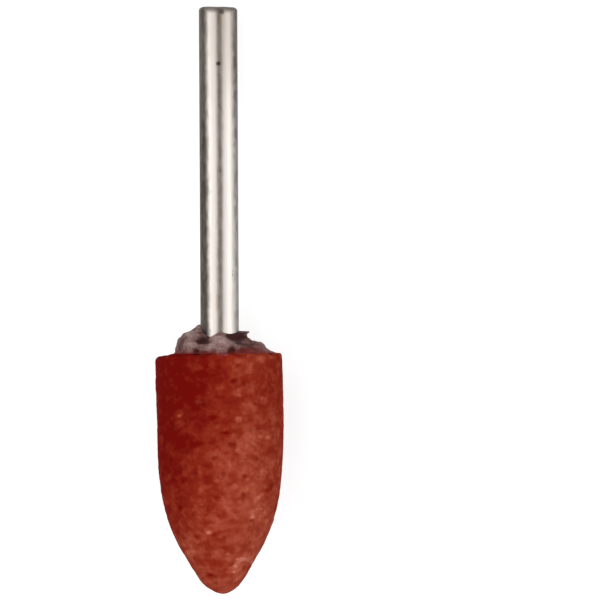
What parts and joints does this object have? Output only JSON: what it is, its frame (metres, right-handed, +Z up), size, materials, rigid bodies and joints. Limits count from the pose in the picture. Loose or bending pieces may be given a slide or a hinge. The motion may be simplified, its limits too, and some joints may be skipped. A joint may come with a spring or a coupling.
{
  "type": "mounted point",
  "caption": "Bullet-shaped red-brown abrasive head cemented on a plain round steel shank, for grinding in a hand-held rotary tool.",
  "frame": {"origin": "middle of the footprint of the point's bounding box, on the floor that it lies on", "axes": "+Z up from the floor, +Y along the floor towards the shank's free end, +X across; the shank's axis dips 7.2 degrees below +Y because the head is thicker than the shank"},
  "size_m": [0.0098, 0.0454, 0.0108],
  "materials": {
    "bright_steel": "drawn bright steel with faint lengthwise marks and small dark specks",
    "red_brown_abrasive": "matte, open, gritty vitrified grain",
    "grey_brown_cement": "matte, lumpy set cement with pits"
  },
  "bodies": {
    "root": {"shank": "bright_steel", "abrasive_head": "red_brown_abrasive", "bond_cement": "grey_brown_cement"}
  },
  "joints": []
}
